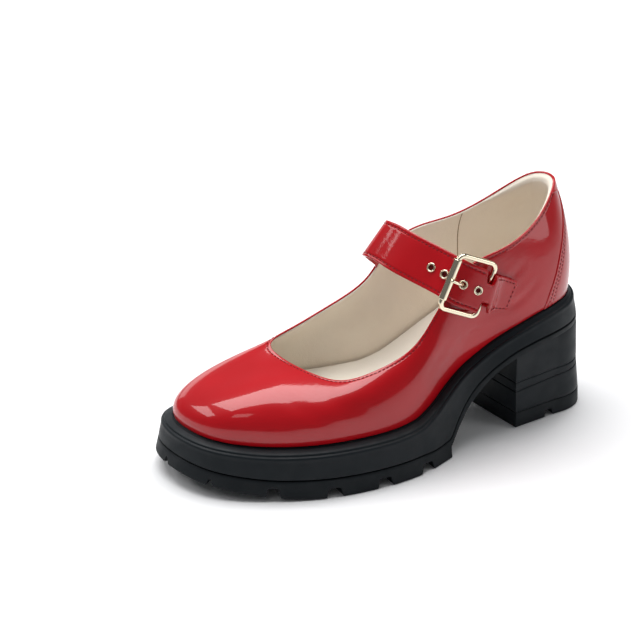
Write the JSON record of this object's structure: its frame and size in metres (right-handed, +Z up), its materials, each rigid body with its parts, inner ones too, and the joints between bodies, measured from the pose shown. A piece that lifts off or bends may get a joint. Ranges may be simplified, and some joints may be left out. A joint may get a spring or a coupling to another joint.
{
  "type": "mary jane shoe",
  "caption": "Left mary jane shoe with a square toe, instep strap, roller buckle, lugged platform sole and block heel.",
  "frame": {"origin": "centre of the bounding box in X and Y, at the ground", "axes": "+Z up, -Y towards the toe, +X towards the shoe's outer (lateral) side"},
  "size_m": [0.103, 0.2537, 0.1395],
  "materials": {
    "red_patent": "glossy patent",
    "lining_leather": "matte",
    "sole_rubber": "matte moulded",
    "gold_metal": "polished pale gold"
  },
  "bodies": {
    "root": {"upper": "red_patent", "midsole": "sole_rubber", "outsole": "sole_rubber", "heel": "sole_rubber", "top_lift": "sole_rubber", "insole": "lining_leather", "strap": "red_patent", "eyelet_1": "gold_metal", "eyelet_2": "gold_metal", "eyelet_3": "gold_metal", "eyelet_4": "gold_metal", "buckle_frame": "gold_metal", "buckle_roller": "gold_metal", "buckle_prong": "gold_metal"}
  },
  "joints": []
}
